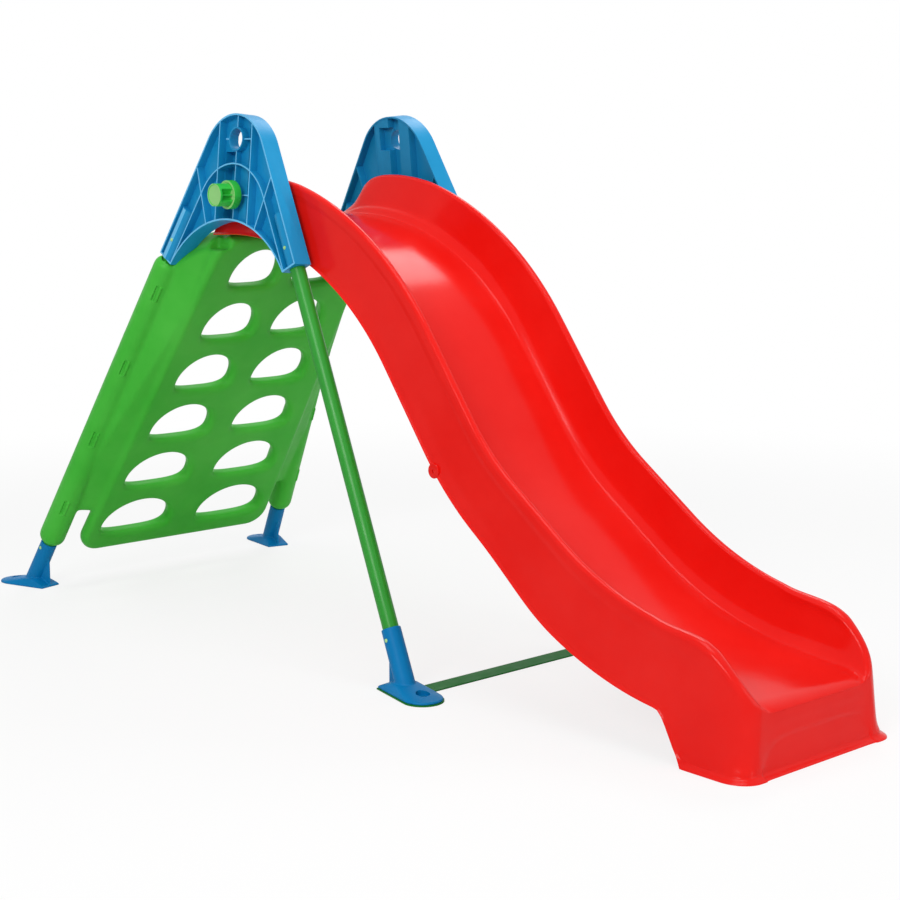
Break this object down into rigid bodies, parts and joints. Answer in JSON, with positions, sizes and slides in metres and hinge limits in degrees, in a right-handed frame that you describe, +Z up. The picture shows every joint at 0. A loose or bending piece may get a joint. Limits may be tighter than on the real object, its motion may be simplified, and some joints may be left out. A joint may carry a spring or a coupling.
{
  "type": "climber slide",
  "caption": "Free-standing toddler slide: moulded chute hung on an A-frame of round tubes and ribbed brackets, with a climbing panel with foot holes behind.",
  "frame": {"origin": "on the floor, in the middle of the floor strap between the front feet", "axes": "+X runs down the slide towards its nose, +Y to the left as a child slides, +Z up"},
  "size_m": [2.3512, 0.8832, 1.2016],
  "materials": {
    "chute": "glossy red moulded plastic",
    "panel": "satin green moulded plastic",
    "tube": "green powder coat on steel",
    "bracket": "satin blue moulded plastic",
    "knob": "satin light green moulded plastic",
    "steel": "plain zinc-plated steel",
    "button": "glossy pale green"
  },
  "bodies": {
    "frame": {"climbing_panel": "panel", "floor_strap": "tube", "bracket_right": "bracket", "front_leg_right": "tube", "rear_leg_right": "tube", "front_foot_right": "bracket", "rear_foot_right": "bracket", "front_foot_spring_right": "steel", "front_bracket_spring_right": "steel", "rear_foot_spring_right": "steel", "rear_bracket_spring_right": "steel", "bracket_left": "bracket", "front_leg_left": "tube", "rear_leg_left": "tube", "front_foot_left": "bracket", "rear_foot_left": "bracket", "front_foot_spring_left": "steel", "front_bracket_spring_left": "steel", "rear_foot_spring_left": "steel", "rear_bracket_spring_left": "steel"},
    "chute": {"chute": "chute", "knob_nut_right": "steel", "knob_nut_left": "steel"},
    "knob_right": {"knob_right": "knob"},
    "knob_left": {"knob_left": "knob"},
    "front_foot_button_right": {"front_foot_button_right": "button"},
    "front_bracket_button_right": {"front_bracket_button_right": "button"},
    "rear_foot_button_right": {"rear_foot_button_right": "button"},
    "rear_bracket_button_right": {"rear_bracket_button_right": "button"},
    "front_foot_button_left": {"front_foot_button_left": "button"},
    "front_bracket_button_left": {"front_bracket_button_left": "button"},
    "rear_foot_button_left": {"rear_foot_button_left": "button"},
    "rear_bracket_button_left": {"rear_bracket_button_left": "button"}
  },
  "joints": [
    {"name": "chute_swing", "type": "hinge", "parent": "frame", "child": "chute", "pos_m": [-0.646, 0, 1.02], "axis": [0, -1, 0], "range_deg": [0, 12]},
    {"name": "knob_right_turn", "type": "hinge", "parent": "frame", "child": "knob_right", "pos_m": [-0.646, -0.26112, 1.02], "axis": [0, -1, 0], "continuous": true},
    {"name": "knob_left_turn", "type": "hinge", "parent": "frame", "child": "knob_left", "pos_m": [-0.646, 0.26112, 1.02], "axis": [0, 1, 0], "continuous": true},
    {"name": "front_foot_button_right_press", "type": "slide", "parent": "frame", "child": "front_foot_button_right", "axis": [0.021, 0.9989, -0.043], "range_m": [0, 0.0085], "stiffness_N_per_m": 800, "springref_m": -0.003, "deforming": ["front_foot_spring_right"]},
    {"name": "front_bracket_button_right_press", "type": "slide", "parent": "frame", "child": "front_bracket_button_right", "axis": [0.021, 0.9989, -0.043], "range_m": [0, 0.0055], "stiffness_N_per_m": 800, "springref_m": -0.003, "deforming": ["front_bracket_spring_right"]},
    {"name": "rear_foot_button_right_press", "type": "slide", "parent": "frame", "child": "rear_foot_button_right", "axis": [-0.0606, 0.9928, -0.1034], "range_m": [0, 0.0085], "stiffness_N_per_m": 800, "springref_m": -0.003, "deforming": ["rear_foot_spring_right"]},
    {"name": "rear_bracket_button_right_press", "type": "slide", "parent": "frame", "child": "rear_bracket_button_right", "axis": [-0.0606, 0.9928, -0.1034], "range_m": [0, 0.0055], "stiffness_N_per_m": 800, "springref_m": -0.003, "deforming": ["rear_bracket_spring_right"]},
    {"name": "front_foot_button_left_press", "type": "slide", "parent": "frame", "child": "front_foot_button_left", "axis": [0.021, -0.9989, -0.043], "range_m": [0, 0.0085], "stiffness_N_per_m": 800, "springref_m": -0.003, "deforming": ["front_foot_spring_left"]},
    {"name": "front_bracket_button_left_press", "type": "slide", "parent": "frame", "child": "front_bracket_button_left", "axis": [0.021, -0.9989, -0.043], "range_m": [0, 0.0055], "stiffness_N_per_m": 800, "springref_m": -0.003, "deforming": ["front_bracket_spring_left"]},
    {"name": "rear_foot_button_left_press", "type": "slide", "parent": "frame", "child": "rear_foot_button_left", "axis": [-0.0606, -0.9928, -0.1034], "range_m": [0, 0.0085], "stiffness_N_per_m": 800, "springref_m": -0.003, "deforming": ["rear_foot_spring_left"]},
    {"name": "rear_bracket_button_left_press", "type": "slide", "parent": "frame", "child": "rear_bracket_button_left", "axis": [-0.0606, -0.9928, -0.1034], "range_m": [0, 0.0055], "stiffness_N_per_m": 800, "springref_m": -0.003, "deforming": ["rear_bracket_spring_left"]}
  ]
}
